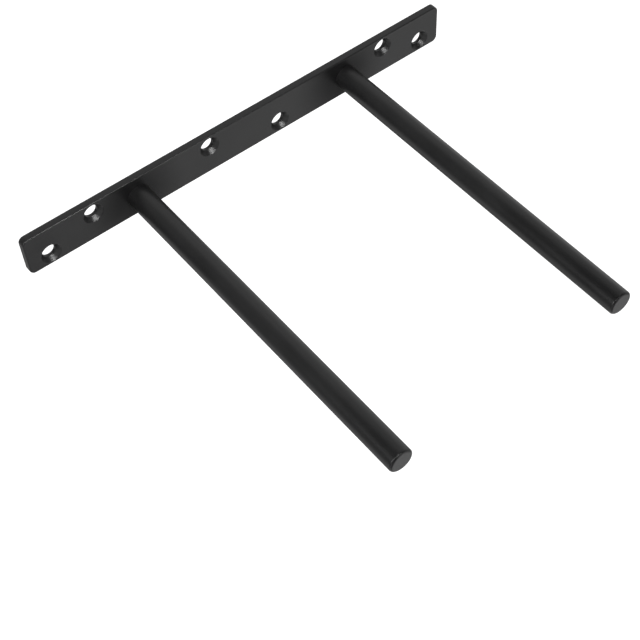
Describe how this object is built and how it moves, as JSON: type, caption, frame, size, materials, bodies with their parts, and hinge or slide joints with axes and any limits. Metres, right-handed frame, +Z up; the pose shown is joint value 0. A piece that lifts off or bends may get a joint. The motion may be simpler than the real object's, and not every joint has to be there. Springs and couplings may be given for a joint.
{
  "type": "floating shelf bracket",
  "caption": "Flat steel wall strip with staggered countersunk screw holes and long round rods standing square out of it, on which a drilled or hollow shelf slides to hide the fixing.",
  "frame": {"origin": "centre of the plate's wall face", "axes": "+X along the plate, to the right seen from the front; +Y into the wall; +Z up. The rods point along -Y."},
  "size_m": [0.244, 0.191, 0.022],
  "materials": {
    "plate_coat": "satin black powder coat on steel strip",
    "rod_coat": "satin black powder coat on round steel bar",
    "weld_coat": "satin black powder coat over a ground weld"
  },
  "bodies": {
    "root": {"back_plate": "plate_coat", "left_rod": "rod_coat", "right_rod": "rod_coat", "left_weld": "weld_coat", "right_weld": "weld_coat"}
  },
  "joints": []
}
